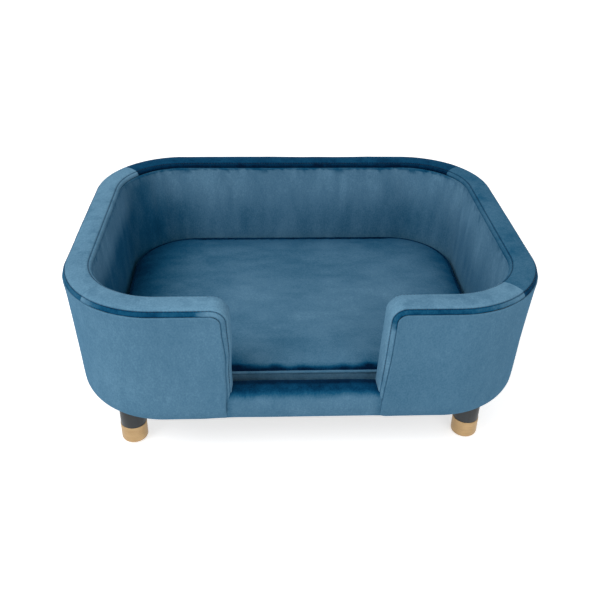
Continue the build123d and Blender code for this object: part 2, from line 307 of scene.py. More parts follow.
def velvet_material():
    """Blue velvet: a tone from dark to light, picked by each point's value of pile and painted light and
    shade, with soft brushed patches, short strokes and the grain of the pile itself over it."""
    material, tree, shader = new_material("blue_velvet", 0.85)
    pile_and_light = tree.nodes.new("ShaderNodeAttribute")
    pile_and_light.attribute_name = "nap_and_light"
    tone = pile_and_light.outputs["Fac"]
    for scale, stretch, detail, share in ((9, (1, 1, 1), 3, 0.15), (40, (1, 1, 0.4), 4, 0.11),
                                          (150, (1, 1, 0.5), 3, 0.11), (450, (1, 1, 0.7), 2, 0.24)):
        patch = texture(tree, scale, stretch, detail)
        tone = calculate(tree, "MULTIPLY_ADD", calculate(tree, "SUBTRACT", patch, 0.5), share, tone)
    colour_by(tree, shader, tone, [(0.0, (0, 22, 48)), (0.2, (4, 58, 91)), (0.34, (22, 81, 114)),
                                   (0.45, (50, 97, 126)), (0.7, (85, 126, 153)), (1.0, (124, 168, 195))])
    set_inputs(shader, {"Specular IOR Level": 0.03, "Sheen Weight": 0.20, "Sheen Roughness": 0.45,
                        "Sheen Tint": srgb(60, 140, 190)})
    bump(tree, shader, texture(tree, 1400), 0.35, 0.0004)
    return material


blue_velvet = velvet_material()


def arm_seam(z, side):
    """Distance from the way in to the seam beside it. It draws in towards the sill: evenly on
    the right arm, and from higher up on the left one, where it opens a little again below."""
    sill_seam, even_from = 0.112, 0.200
    if side > 0:
        low = 0.0078
        return low + (outer_drop - low) * np.clip((z - sill_seam) / (even_from - sill_seam), 0, 1)
    low, opened = 0.0066, 0.0012
    return low + (outer_drop - low) * smooth(0.190, 0.245, z) + opened * smooth(0.150, sill_seam, z)


def on_side(place, side):
    """Points of the right half put on a side. The left arm is padded more fully: beside the way
    in they lie up to 7 mm nearer to the middle, most round its shoulder and less at the sill."""
    if side > 0:
        return place
    x, y, z = np.moveaxis(place * (side, 1, 1), -1, 0)
    fuller = 0.0025 * smooth(0.105, 0.135, z) + 0.0045 * smooth(0.160, 0.235, z)
    return np.stack([x + fuller * smooth(-0.205, -0.125, x), y, z], -1)


def outer_panel(name, start, end, nap_and_light, *stands_for):
    """Outside panel from station start to end. Its rows run up the wall's section: inwards under
    the board, round the lower edge in a quarter circle and up to the seam, where it rolls in.
    Beside the way in its columns follow the edge, and the seam turns down in a quarter round.
    The foam's ripples are noise, square to the wall."""
    beside_entry = end > front_start
    side = -1 if name.endswith("left") else 1
    turn_in, panel_height, seam_swell = 0.016, 0.178, 0.0010
    along = fine_ends(end - start, 0.006)
    if beside_entry:
        along = in_order(along, end - start - near_edge(outer_round, 10))
    station = start + along
    crest = rim_top - outer_drop - beside_entry * round_depth(end - station, outer_round)
    rows = np.concatenate([spans(4, 11), 2 + fine_ends(panel_height, 0.007)[3:] / panel_height])
    q, column = np.meshgrid(rows, np.arange(len(station)), indexing="ij")
    turn = np.clip(q - 1, 0, 1) * math.pi / 2
    face_height = crest[column] - underside - lower_round
    z = underside + lower_round * (1 - np.cos(turn)) + np.clip(q - 2, 0, 1) * face_height
    inset = lower_round * (1 - np.sin(turn)) + turn_in * (1 - np.clip(q, 0, 1))
    s = station[column]
    to_crest = np.maximum(rim_top - outer_drop - z, 0)
    to_edge = np.ones_like(z)
    if beside_entry:
        s, to_edge = shift_to_entry(s, entry_x(z) + arm_seam(z, side), end)
        from_arm = corner_distance(rim_top - z, to_edge + arm_seam(z, side), arm_round)
        inset = inset + round_depth(from_arm, outer_round)
        lifted_hem, hem_width = 0.0020, 0.040 if side < 0 else 0.012
        z = z + lifted_hem * smooth(hem_width, 0.0, to_edge) * smooth(0.13, 0.09, z)
    else:
        inset = inset + round_depth(rim_top - z, outer_round)
    seam = corner_distance(to_crest, to_edge, outer_round)
    inset = inset + seam_roll(seam) - seam_swell * np.exp(-seam / 0.010)
    place = wall_point(s, inset, z) * (side, 1, 1)
    pucker = 0.0004 * np.exp(-seam / 0.007) * noise(on_line(side * s), 0.011, 3)
    ripple = 0.0009 * noise(place, 0.09, 5) + 0.00025 * noise(place, 0.035, 6) + pucker
    place = on_side(wall_point(s, inset - ripple * smooth(1, 2, q), z), side)
    upholster(shell(name, place, nap_and_light(s), blue_velvet, turned=side < 0), 0.75, *stands_for)


front_end = front_start + corner_x - half_entry_top - outer_drop
# Panel tones: partly the pile and partly painted light, lighter on the left, where the lamp falls, than on
# the right and the back. The front panels grow darker towards the way in, and the left side darker towards
# the back.
for place, tone, darker in (("left", 0.73, 0.05), ("right", 0.68, 0.04)):
    outer_panel("panel_front_" + place, front_mitre, front_end,
                lambda s: tone - darker * smooth(front_mitre, front_end, s), "outer_panel_front_" + place)
outer_panel("panel_side_left", back_mitre, front_mitre,
            lambda s: 0.73 - 0.05 * smooth(front_mitre - 0.10, back_mitre, s),
            "outer_panel_left", "outer_pad_left")
outer_panel("panel_side_right", back_mitre, front_mitre, lambda s: 0.68,
            "outer_panel_right", "outer_pad_right")
outer_panel("panel_back", -back_mitre, back_mitre, lambda s: 0.65, "outer_panel_back", "outer_pad_back")

# Rim band. Five lengths of velvet over the foam of the rim, mitred in the corners. The front
# ones turn down over the arms beside the way in. A strip along the outer edge is topstitched.
wall, inner_round, inner_drop = 0.042, 0.010, 0.0095
stitch_outer, stitch_inner = math.radians(45), math.radians(35)
inner_seam = math.acos(1 - inner_drop / inner_round)
entry_slope = math.atan((half_entry_top - half_entry_low) / (rim_top - underside))
side_turn = math.pi / 2 - entry_slope
arm_x = entry_x(rim_top - arm_round) + arm_round / math.cos(entry_slope)
arm_start = front_start + corner_x - arm_x
arm_down = 0.140


def seam_angle(low_drop):
    """Angle round the outer edge at which the band starts, for a drop of its outer seam."""
    return np.arcsin((outer_round - low_drop) / outer_round)


outer_line = (stitch_outer - seam_angle(outer_drop)) / (math.pi / 2 - seam_angle(outer_drop))
inner_line = 2 + stitch_inner / inner_seam


def arm_path(u):
    """How far a place on the rim has gone over the arm: the angle it has turned, which is the
    length past its start over the arm's radius, and the length it has run down below."""
    over = np.maximum(np.abs(u) - arm_start, 0)
    turn = np.minimum(over / arm_round, side_turn)
    return turn, over - arm_round * turn


def rim_point(u, inset, drop):
    """Point of the rim at u metres along it, an inset from the outside face and a drop below its
    skin. Past the arm corner the path turns down with a radius and runs beside the way in."""
    turn, down = arm_path(u)
    side = np.where(u < 0, -1.0, 1.0)
    z = rim_top - arm_round + np.cos(turn) * (arm_round - drop) - down * np.sin(turn)
    place = wall_point(side * np.minimum(np.abs(u), arm_start), inset, z)
    place[..., 0] -= side * (np.sin(turn) * (arm_round - drop) + down * np.cos(turn))
    return place


def band_section(v, low_drop):
    """Section of the band: v from 0 to 1 up the outer quarter round, from 1 to 2 across the flat
    and from 2 to 3 down the inner round. Gives inset, drop, and the angles round both edges."""
    start = seam_angle(low_drop)
    outer = start + (math.pi / 2 - start) * np.clip(v, 0, 1)
    inner = inner_seam * np.clip(v - 2, 0, 1)
    across = (wall - outer_round - inner_round) * np.clip(v - 1, 0, 1)
    inset = outer_round * (1 - np.cos(outer)) + across + inner_round * np.sin(inner)
    drop = outer_round * (1 - np.sin(outer)) + inner_round * (1 - np.cos(inner))
    return inset, drop, outer, inner


def seam_drop(u, side):
    """Drop of the band's outer seam: even along the rim, drawn in where the arm meets the sill."""
    turn, down = arm_path(u)
    return np.where(down > 0, arm_seam(rim_top - arm_round - down, side), outer_drop)


def rim_band(name, start, end, side, nap_and_light, *stands_for):
    """Length of the rim band between two stations, as a closed shell. Its rows go across the
    band's section, its columns along the rim. Its flat is crowned by half a sine wave, its seams
    roll in, and a groove with the shape of a bell curve runs under each line of topstitching."""
    columns = start + fine_ends(end - start, 0.0055)
    if end > front_start:
        columns = in_order(columns, arm_start + arm_round * np.linspace(0, side_turn, 16))
    rows = np.concatenate([
        np.linspace(0, 1, 15), [0.012, 0.03, 0.06, 0.10, 0.145], np.linspace(1, 2, 7),
        np.linspace(2, 3, 11), [2.86, 2.94, 2.975, 2.99],
        outer_line + np.array([-0.045, -0.02, 0, 0.02, 0.045]),
        inner_line + np.array([-0.06, -0.03, 0, 0.03, 0.06])])
    v, u = np.meshgrid(np.unique(rows), columns, indexing="ij")
    low_drop = seam_drop(u, side)
    inset, drop, outer, inner = band_section(v, low_drop)
    first_angle = seam_angle(low_drop)
    stitch_angle = first_angle + (math.pi / 2 - first_angle) * outer_line
    to_outer, to_inner = outer_round * (outer - first_angle), inner_round * (inner_seam - inner)
    to_mitre = np.minimum(u - start, np.where(end > arm_start, 1.0, end - u))
    sink = seam_roll(to_outer) + seam_roll(to_inner) + 0.7 * round_depth(to_mitre, 0.0010)
    grooves = (outer_round * (outer - stitch_angle),
               np.where(v > 1.5, inner_round * (inner - stitch_inner), 1.0))
    for gap in grooves:
        sink += 0.0006 * np.exp(-(gap / 0.0010) ** 2) - 0.0004 * np.exp(-((gap - 0.0032) / 0.002) ** 2)
    crown = 0.0008 * np.sin(math.pi * np.clip(v - 1, 0, 1))
    skin = rim_point(u, inset, drop)
    ripple = 0.0006 * noise(skin, 0.05, 11) + 0.0002 * noise(skin, 0.02, 12)
    ripple += 0.0003 * np.exp(-to_outer / 0.006) * noise(on_line(u), 0.009, 13)
    out = unit(np.stack([np.sin(inner) - np.cos(outer), np.sin(outer) * np.cos(inner)], -1))
    rise = crown + ripple - sink
    skin = on_side(rim_point(u, inset + out[..., 0] * rise, drop - out[..., 1] * rise), side)
    smudge = smooth(0.2, 0.8, noise(skin, 0.016, 14) + 0.6 * noise(skin, 0.006, 15))
    pile_and_light = nap_and_light(u, skin, outer, inner) + 0.04 * noise(skin, 0.03, 16) - 0.07 * smudge
    # Painted shade: the tone is darkened in the topstitch grooves and where both seams roll in.
    for gap in grooves:
        pile_and_light -= 0.34 * np.exp(-(gap / 0.0008) ** 2)
    pile_and_light -= 0.40 * np.exp(-to_outer / 0.0009) + 0.50 * np.exp(-to_inner / 0.0013)
    upholster(shell(name, skin, pile_and_light, blue_velvet, turned=side < 0), 0.8, *stands_for)


def strip_tone(band, strip, outer):
    """Tone of the band, and of the strip below its outer topstitching, where the pile is folded
    the other way."""
    return band + (strip - band) * smooth(stitch_outer + 0.03, stitch_outer - 0.05, outer)


def front_nap_and_light(light, dark, from_mitre, past_arm, turned_tone):
    """Front bands: light on top, the strip dark along the front. It fades towards the mitre, and again at a
    distance past the start of the arm's corner. Where the band turns down over the arm, turned_tone paints
    shade on the left arm and light on the right one."""
    def nap_and_light(u, skin, outer, inner):
        turn, down = arm_path(u)
        patchy = 0.006 * noise(skin, 0.006, 17)
        fade = smooth(front_mitre, front_mitre + from_mitre, u + patchy)
        fade = fade * smooth(past_arm + 0.016, past_arm, u - arm_start + patchy)
        strip = light - (light - dark) * fade - 0.05 + 0.05 * noise(skin, 0.004, 18)
        return strip_tone(light, strip, outer) + turned_tone * smooth(0.1, 1.3, turn)
    return nap_and_light


def right_nap(u, skin, outer, inner):
    """Right band: a middle tone, a little lighter towards the back, and a dark strip."""
    band = 0.475 + 0.03 * smooth(front_mitre, back_mitre, u) + 0.05 * noise(skin, 0.04, 19)
    return strip_tone(band, 0.18, outer)


rim_end = arm_start + arm_round * side_turn + arm_down
for side, place, *tones in ((-1, "left", 0.81, 0.38, 0.045, -0.018, -0.04),
                            (1, "right", 0.78, 0.37, 0.095, 0.040, 0.02)):
    rim_band("rim_front_" + place, front_mitre, rim_end, side, front_nap_and_light(*tones),
             "rim_band_front_" + place, "end_pad_" + place)
rim_band("rim_left", back_mitre, front_mitre, -1,
         lambda u, skin, outer, inner: strip_tone(0.79, 0.42, outer), "rim_band_left", "rim_pad_left")
rim_band("rim_right", back_mitre, front_mitre, 1, right_nap, "rim_band_right", "rim_pad_right")
# Back band: a dark tone, painted shade for a band seen at a grazing angle, darker still down its inner
# round towards the lining.
rim_band("rim_back", -back_mitre, back_mitre, 1,
         lambda u, skin, outer, inner: 0.22 - 0.14 * smooth(0.5, 1.0, inner),
         "rim_band_back", "rim_pad_back")

# Lining. Three lengths of velvet inside the tub, from the inner seam of the rim band down to
# the deck, pulled over the foam. On the arms it ends at the seam of the band beside the way in.
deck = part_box("deck_cloth")[1].z
seam_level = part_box("cushion_piping_top")[0].z
corner_foam = 0.0095


def lining(name, start, end, side, *stands_for):
    """Length of the lining between two stations, as a closed shell. Its rows run from the deck
    up to the seam, between which it swells by half a sine wave. In the rounded corners, by the
    square of the sine of twice the turn, it is slack and draws shallow upright folds of noise."""
    beside_entry = end > front_start
    corner = arm_round - inner_drop
    station = start + fine_ends(end - start, 0.006)
    if beside_entry:
        station = in_order(station, end - near_edge(corner, 9))
    height = rim_top - inner_drop - deck
    share, s = np.meshgrid(fine_ends(height, 0.007)[3:] / height, station, indexing="ij")
    z = deck + share * (height - beside_entry * round_depth(end - s, corner))
    to_edge = np.ones_like(z)
    if beside_entry:
        s, to_edge = shift_to_entry(s, entry_x(z) + inner_drop, end)
    seam = corner_distance(np.maximum(rim_top - inner_drop - z, 0), to_edge, corner)
    in_corner = np.sin(2 * wall_turn(np.abs(s))) ** 2
    inset = wall - round_depth(seam + inner_drop, inner_round)
    inset = inset + corner_foam * in_corner * np.clip((rim_top - z) / (rim_top - seam_level), 0, 1)
    place = wall_point(s, inset, z) * (side, 1, 1)
    upright = np.stack([side * s, 0 * s, z * 0.12], -1)
    fold = noise(upright, 0.022, 21) * (0.0004 + 0.0012 * in_corner) * smooth(0, 0.03, seam)
    pucker = 0.0006 * np.exp(-seam / 0.008) * noise(upright, 0.010, 22)
    swell = 0.0018 * np.sin(math.pi * np.clip((z - deck) / height, 0, 1))
    rise = swell + fold + pucker + 0.0008 * noise(place, 0.07, 23) - seam_roll(seam)
    place = on_side(wall_point(s, inset + rise, z), side)
    nap_and_light = lining_nap_and_light(side * s, z, seam, place)
    upholster(shell(name, place, nap_and_light, blue_velvet, turned=side > 0), 0.7, *stands_for)


def lining_nap_and_light(s, z, seam, place):
    """Tone of the pile round the tub, for negative stations on the left, partly pile and partly painted
    light and shade: light on the back and the right, painted shade towards the deck and low in the corners,
    and painted shade on the left wall, which faces away from the lamp, but for a painted light stretch
    below the rim. Just below the seam a ragged dark line is painted shadow under the band, with an edge
    like brushed pile."""
    far = np.abs(s)
    shifted = -s - 0.06 * smooth(0.17, 0.26, z)
    left = smooth(corner_x - 0.04, corner_x + 0.10, shifted)
    light = 0.54 + 0.17 * smooth(0.165, 0.245, z) + 0.05 * smooth(corner_x + 0.08, corner_x + 0.2, s)
    light = light - 0.10 * smooth(0.09, 0.0, np.abs(far - corner_x - 0.03)) * smooth(0.26, 0.17, z)
    below_rim = smooth(0.200, 0.245, z) * smooth(corner_x + 0.13, corner_x + 0.23, far)
    dark = 0.35 + 0.36 * np.maximum(below_rim, 0.6 * smooth(0.248, 0.275, z))
    ragged = 0.0035 + 0.0035 * noise(place * (1, 1, 0.3), 0.0045, 31)
    right = smooth(corner_x + 0.11, corner_x + 0.17, s)
    # Painted shadow under the rim band, with a ragged edge like brushed pile: a dark line just below the
    # seam, fainter on the left and right walls.
    brushed = smooth(ragged + 0.002, ragged - 0.001, seam) * (1 - 0.6 * left - 0.7 * right)
    strokes = 0.07 * noise(place * (1, 1, 0.22), 0.012, 32)
    mark = smooth(0.45, 0.8, noise(place * (1, 1, 0.5), 0.007, 33)) * np.exp(-((seam - 0.008) / 0.01) ** 2)
    return light + (dark - light) * left + strokes - 0.34 * brushed - 0.2 * mark


lining_end = front_start + corner_x - half_entry_top - inner_drop
both_sides = ((-1, "left"), (1, "right"))
for side, place in both_sides:
    lining("lining_velvet_" + place, back_mitre, lining_end, side, "lining_" + place, "inner_pad_" + place)
lining("lining_velvet_back", -back_mitre, back_mitre, 1, "lining_back", "inner_pad_back")

# Sill. One piece of velvet over foam on the low rail between the arms, its ends tucked in
# between them. Its hem runs in under the base board, where it is wider than the way in.
sill_top, sill_front, sill_back, sill_hem = 0.134, 0.003, 0.038, 0.040
sill_underside = underside + 0.0009
end_tuck, hem_tuck = 0.010, 0.018


def sill_section(q):
    """Section of the sill, of straight lengths and quarter circles: q from 0 to 1 along its
    underside, to 2 round the lower edge, to 3 up the face, to 4 round the front edge, to 5 across
    the top, to 6 round the back edge and to 7 down to the deck. Gives inset from the wall's
    outside face, height and the outward direction."""
    low, front, back = lower_round - sill_front, outer_round, inner_round
    part = [np.clip(q - k, 0, 1) for k in range(7)]
    low_turn, front_turn, back_turn = (part[k] * math.pi / 2 for k in (1, 3, 5))
    inset = sill_hem - (sill_hem - sill_front - low) * part[0]
    inset = inset - low * np.sin(low_turn) + front * (1 - np.cos(front_turn))
    inset = inset + (sill_back - sill_front - front - back) * part[4] + back * np.sin(back_turn)
    z = sill_underside + low * (1 - np.cos(low_turn))
    z = z + (sill_top - front - sill_underside - low) * part[2] + front * np.sin(front_turn)
    z = z - back * (1 - np.cos(back_turn)) - (sill_top - back - deck) * part[6]
    turn = low_turn + front_turn + back_turn
    return inset, z, -np.sin(turn), -np.cos(turn)


q, across = np.meshgrid(np.append(spans(3, 9, 5, 9, 4, 6, 6), 7), np.linspace(-1, 1, 61), indexing="ij")
inset, z, out_y, out_z = sill_section(q)
tucked = smooth(1.5, 1.05, q)
x = across * (entry_x(z) + end_tuck + hem_tuck * tucked)
to_arm = np.maximum(entry_x(z) + end_tuck / 2 - np.abs(x), 0)
swell = 0.0020 * (1 - np.exp(-to_arm / 0.008)) * smooth(1.6, 2.4, q) * smooth(5.6, 4.6, q)
rough = np.stack([x, inset, z], -1)
pucker = 0.0009 * np.exp(-to_arm / 0.012) * noise(rough * (0.3, 1, 1), 0.012, 41)
rise = (swell + pucker + 0.0007 * noise(rough, 0.05, 42)) * (1 - tucked)
skin = np.stack([x, inset + leaned(z) - half_depth + out_y * rise, z + out_z * rise], -1)
# Painted light and shade: the face is light and the top dark, the top darkest at its back edge beside the
# cushion, and the sill darker close to each arm.
over_edge = smooth(3.0, 3.75, q + 0.12 * noise(rough, 0.02, 43))
face_tone = 0.68
shaded_top_tone = 0.16 - 0.16 * smooth(4.0, 4.7, q) + 0.06 * noise(rough, 0.008, 45)
nap_and_light = face_tone + (shaded_top_tone - face_tone) * over_edge
nap_and_light = nap_and_light - 0.12 * smooth(0.010, 0.0, to_arm) + 0.03 * noise(rough, 0.02, 44)
upholster(shell("sill_velvet", skin, nap_and_light, blue_velvet, turned=True), 0.75, "sill_cover", "sill_pad")

# Topstitching. Dark thread in the two grooves of the rim band, one stitch after another, each a
# short bowed capsule of a few faces that dips into the velvet at both ends.
stitch_length, stitch_gap, thread = 0.0036, 0.0012, 0.00032


def two_tone(name, dark, light, scale, stretch, roughness, metallic=0.0, detail=4, relief=0.2):
    """Finish of a small or hidden part: two tones of its material in a fine pattern, with the
    same pattern in its relief."""
    material, tree, shader = new_material(name, roughness, metallic)
    pattern = texture(tree, scale, stretch, detail)
    colour_by(tree, shader, pattern, [(0.3, dark), (0.7, light)])
    if relief:
        bump(tree, shader, pattern, relief, 0.0003)
    return material


def capsule_faces(count, rings, sides, turned=False):
    """Faces of a row of small closed capsules, each made of a few rings of points."""
    number = np.arange(rings * sides).reshape(rings, sides)
    start = (np.arange(count) * rings * sides)[:, None, None]
    faces = []
    for one in (ring_faces(number[:-1], number[1:]), np.stack([number[0, ::-1], number[-1]])):
        every = (start + one).reshape(-1, one.shape[1])
        faces += (every[:, ::-1] if turned else every).tolist()
    return faces


def stitches(name, start, end, side, v, material):
    """Row of stitches along the rim band at a place across its section: short tubes along the
    rim, thinner at their ends, which dip by the fourth power of the distance from the middle."""
    count = int((end - start) / (stitch_length + stitch_gap))
    middle = start + (np.arange(count) + 0.5) * (end - start) / count
    along = np.linspace(-1, 1, 5)
    u = middle[:, None] + along * stitch_length / 2
    inset, drop, outer, inner = band_section(np.full_like(u, v), seam_drop(u, side))
    out_inset, out_drop = np.sin(inner) - np.cos(outer), -np.sin(outer) * np.cos(inner)
    lift, above_by = 0.0001 - 0.0007 * along ** 4, 0.001
    line = rim_point(u, inset + out_inset * lift, drop + out_drop * lift)
    lift = lift + above_by
    above = unit(rim_point(u, inset + out_inset * lift, drop + out_drop * lift) - line)
    beside = np.cross(unit(np.gradient(line, axis=1)), above)
    radius = thread * np.array([0.35, 0.9, 1.0, 0.9, 0.35])
    sides = 5
    angle = np.arange(sides) * 2 * math.pi / sides
    ring = np.cos(angle)[:, None] * beside[:, :, None] + np.sin(angle)[:, None] * above[:, :, None]
    points = on_side(line[:, :, None] + ring * radius[:, None, None], side)
    new_piece(name, points.reshape(-1, 3), capsule_faces(count, len(along), sides, side < 0), material)


dark_thread = two_tone("dark_thread", (8, 34, 56), (24, 58, 84), 2500, (1, 1, 0.3), 0.55,
                       detail=2, relief=0)
stitch_end = arm_start + arm_round * side_turn + 0.110
for side, place in both_sides:
    stitches("topstitch_outer_" + place, 0.001, stitch_end, side, outer_line, dark_thread)
    stitches("topstitch_inner_" + place, 0.001, stitch_end, side, inner_line, dark_thread)

# Cushion cover. A loose box cushion of velvet over foam: a crowned top, a boxing strip and a base.
# The three are simulated as one cloth blown up by the foam, held along its two seams and its
# base, then parted again. The boxing is folded in behind the zip.
piping_low, piping_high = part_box("cushion_piping_top")
base_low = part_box("cushion_base")[0].z
half_piping = (piping_high.z - piping_low.z) / 2
seam_z = piping_low.z + half_piping
cushion_x = piping_high.x - half_piping
cushion_front, cushion_back = piping_low.y + half_piping, piping_high.y - half_piping
cushion_y, cushion_middle = (cushion_back - cushion_front) / 2, (cushion_back + cushion_front) / 2
cushion_corner, crown, edge_swell, draw_front, draw_side = 0.1071, 0.006, 0.0030, 0.0025, 0.002
cover, boxing_swell = 0.0012, 0.0012


def rounded_plan(a, b, half_x, half_y, corner):
    """Distances from the middle, in plan, of a and b from -1 to 1: a square grid pushed into a
    rounded rectangle, its square rings turned into arcs in the corners."""
    over_x, over_y = np.abs(a) * half_x - half_x + corner, np.abs(b) * half_y - half_y + corner
    inside = (over_x > 0) & (over_y > 0)
    shrink = np.where(inside, np.maximum(over_x, over_y) / np.maximum(np.hypot(over_x, over_y), 1e-9), 1)
    x = np.where(inside, half_x - corner + over_x * shrink, np.abs(a) * half_x)
    y = np.where(inside, half_y - corner + over_y * shrink, np.abs(b) * half_y)
    return x, y


def cushion_plan(a, b):
    """Place in plan of a and b from -1 to 1 on the cushion: a rounded rectangle whose front and
    sides are drawn in by parabolas between the corners, fading with the fourth power inwards."""
    x, y = rounded_plan(a, b, cushion_x, cushion_y, cushion_corner)
    in_corner = cushion_corner * 0.3
    x = x - draw_side * a ** 4 * np.clip(1 - (y / (cushion_y - in_corner)) ** 2, 0, 1)
    y = y - draw_front * (b < 0) * b ** 4 * np.clip(1 - (x / (cushion_x - in_corner)) ** 2, 0, 1)
    return np.sign(a) * x, cushion_middle + np.sign(b) * y


def to_outline(x, y):
    """Distance from a place on the cushion to its outline seen from above: to the nearer side,
    and in a corner its radius less the distance from its centre."""
    over_x = np.abs(x) - cushion_x + cushion_corner
    over_y = np.abs(y - cushion_middle) - cushion_y + cushion_corner
    outside = np.hypot(np.maximum(over_x, 0), np.maximum(over_y, 0))
    return np.maximum(cushion_corner - outside - np.minimum(np.maximum(over_x, over_y), 0), 0)


def outward(loop):
    """Level directions square to a closed loop of points that runs anticlockwise: from each
    point's forerunner to its follower, turned a quarter turn to the right."""
    ahead = np.roll(loop, -1, axis=0) - np.roll(loop, 1, axis=0)
    return unit(np.stack([ahead[:, 1], -ahead[:, 0], 0 * ahead[:, 0]], -1))


def simulate(piece, held, pressure, reach, frames=20):
    """Blow a closed cloth up with a pressure, its held points fixed, and give its new points. No
    point moves further than about the reach."""
    scene = bpy.context.scene
    rest = np.array([vertex.co for vertex in piece.data.vertices])
    group = piece.vertex_groups.new(name="held")
    group.add(held.tolist(), 1.0, "REPLACE")
    cloth = piece.modifiers.new("cloth", "CLOTH")
    cloth.settings.quality = 5
    cloth.settings.use_pressure = True
    cloth.settings.uniform_pressure_force = pressure
    cloth.settings.effector_weights.gravity = 0
    cloth.settings.vertex_group_mass = "held"
    cloth.settings.shrink_min = -0.012
    cloth.settings.bending_stiffness = 0.5
    cloth.collision_settings.use_collision = False
    cloth.point_cache.frame_start, cloth.point_cache.frame_end = 1, frames
    for number in range(1, frames + 1):
        scene.frame_set(number)
    shown = piece.evaluated_get(bpy.context.evaluated_depsgraph_get())
    blown = np.array([vertex.co for vertex in shown.data.vertices])
    scene.frame_set(1)
    piece.modifiers.clear()
    step = blown - rest
    length = np.linalg.norm(step, axis=1, keepdims=True)
    return rest + step * reach * np.tanh(length / reach) / np.maximum(length, 1e-9)


columns, rows, boxing_rows = 101, 73, 9
x, y = cushion_plan(*np.meshgrid(np.linspace(-1, 1, columns), np.linspace(-1, 1, rows)))
edge = to_outline(x, y)
top_z = seam_z + crown * (1 - np.exp(-edge / 0.05)) + edge_swell * (1 - np.exp(-edge / 0.012))
top_grid = np.stack([x, y, top_z], -1)
base_grid = np.stack([x, y, np.full_like(x, base_low + half_piping)], -1)
count = columns * rows
loop = edge_loop(np.arange(count).reshape(rows, columns))
levels = np.linspace(0, 1, boxing_rows)[:, None, None]
seam_top, seam_base = edge_loop(top_grid), edge_loop(base_grid)
boxing_grid = seam_base + (seam_top - seam_base) * levels
boxing_grid = boxing_grid + outward(seam_top) * boxing_swell * np.sin(math.pi * levels)
points = np.concatenate([grid.reshape(-1, 3) for grid in (top_grid, base_grid, boxing_grid[1:-1])])
ring = 2 * count + np.arange(len(loop) * (boxing_rows - 2)).reshape(-1, len(loop))
ring = np.concatenate([(count + loop)[None], ring, loop[None]])
faces = np.concatenate([grid_faces(rows, columns)[:, ::-1], grid_faces(rows, columns, count),
                        ring_faces(ring[:-1], ring[1:])])
whole = new_piece("cushion_blown", points, faces, blue_velvet, "cushion")
points = simulate(whole, np.concatenate([loop, np.arange(count, 2 * count)]), 4.0, 0.005)
bpy.data.objects.remove(whole)
top_grid, boxing_grid = points[:count].reshape(rows, columns, 3), points[ring]

tape_low, tape_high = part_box("zip_tape")
fold, behind = 0.003, 0.0003
x, y, z = np.moveaxis(boxing_grid, -1, 0)
opening = smooth(tape_low.z, tape_low.z + fold, z) * smooth(tape_high.z, tape_high.z - fold, z)
opening = opening * smooth(tape_high.x + fold, tape_high.x - fold, np.abs(x)) * (y > 0)
boxing_grid[..., 1] += opening * (np.minimum(y, tape_low.y - behind) - y)


def finish_cushion(piece, *stands_for):
    subdivision = piece.modifiers.new("smooth", "SUBSURF")
    subdivision.levels = subdivision.render_levels = 1
    upholster(piece, 0.85, *stands_for)


x, y = top_grid[..., 0], top_grid[..., 1]
edge = to_outline(x, y)
crease = noise(top_grid * (1, 0.35, 1), 0.016, 51) * noise(top_grid, 0.06, 52)
top_grid[..., 2] += 0.0006 * crease * smooth(0, 0.03, edge) - 0.0012 * np.exp(-edge / 0.0025)
to_front = y - cushion_front
# Painted shade where the top rolls off at the front edge.
rolled = smooth(0.020, 0.004, edge + 0.004 * noise(top_grid, 0.02, 53))
rolled = rolled * smooth(0.05, 0.4, np.clip(1 - to_front / 0.03, 0, 1))
shade = 0.50 * np.exp(-(cushion_x + x) / 0.068) + 0.40 * np.exp(-(cushion_x - x) / 0.035)
shade += 0.30 * np.exp(-((x + half_entry_low) / 0.028) ** 2) * smooth(0.06, 0.01, to_front)
shade += 0.20 * np.exp(-((x - half_entry_low) / 0.020) ** 2) * smooth(0.05, 0.01, to_front)
shade += 0.08 * smooth(0.16, 0.05, to_front) + 0.16 * np.exp(-(cushion_back - y) / 0.025)
# The top is also darker towards the back, painted shade from the back wall.
nap_and_light = 0.69 - 0.15 * smooth(cushion_middle - 0.05, cushion_back, y) - 0.70 * rolled - shade
nap_and_light += 0.05 * noise(top_grid, 0.08, 54) + 0.05 * noise(top_grid * (0.4, 1, 1), 0.012, 56)
cover_top = shell("cushion_cover_top", top_grid, nap_and_light, blue_velvet, cover, body="cushion", turned=True)
finish_cushion(cover_top, "cushion_top", "cushion_foam")


def closed_band(name, grid, nap_and_light, thickness):
    """Closed velvet shell of a grid whose columns run all the way round the cushion: the grid,
    the same grid set back along its normals, and a strip at the top and at the bottom."""
    ahead = np.roll(grid, -1, axis=1) - np.roll(grid, 1, axis=1)
    out = unit(np.cross(ahead, np.gradient(grid, axis=0)))
    points = np.concatenate([grid.reshape(-1, 3), (grid - out * thickness).reshape(-1, 3)])
    low = np.arange(grid.shape[0] * grid.shape[1]).reshape(grid.shape[:2])
    high = low + low.size
    faces = np.concatenate([ring_faces(low[:-1], low[1:]), ring_faces(high[1:], high[:-1]),
                            ring_faces(low[-1:], high[-1:]), ring_faces(high[:1], low[:1])])
    piece = new_piece(name, points, faces, blue_velvet, "cushion")
    set_nap_and_light(piece, nap_and_light)
    return piece


# Painted light: the boxing is light along the front, where it sits in the shaded groove above the sill, and
# darker further back.
nap_and_light = 0.66 - 0.34 * smooth(0.03, 0.10, boxing_grid[..., 1] - cushion_front)
nap_and_light = nap_and_light + 0.05 * noise(boxing_grid, 0.05, 55)
finish_cushion(closed_band("cushion_cover_boxing", boxing_grid, nap_and_light, cover), "cushion_boxing")
cover_base = shell("cushion_cover_base", base_grid - (0, 0, half_piping), 0.4, blue_velvet, cover,
                   body="cushion")
finish_cushion(cover_base, "cushion_base")

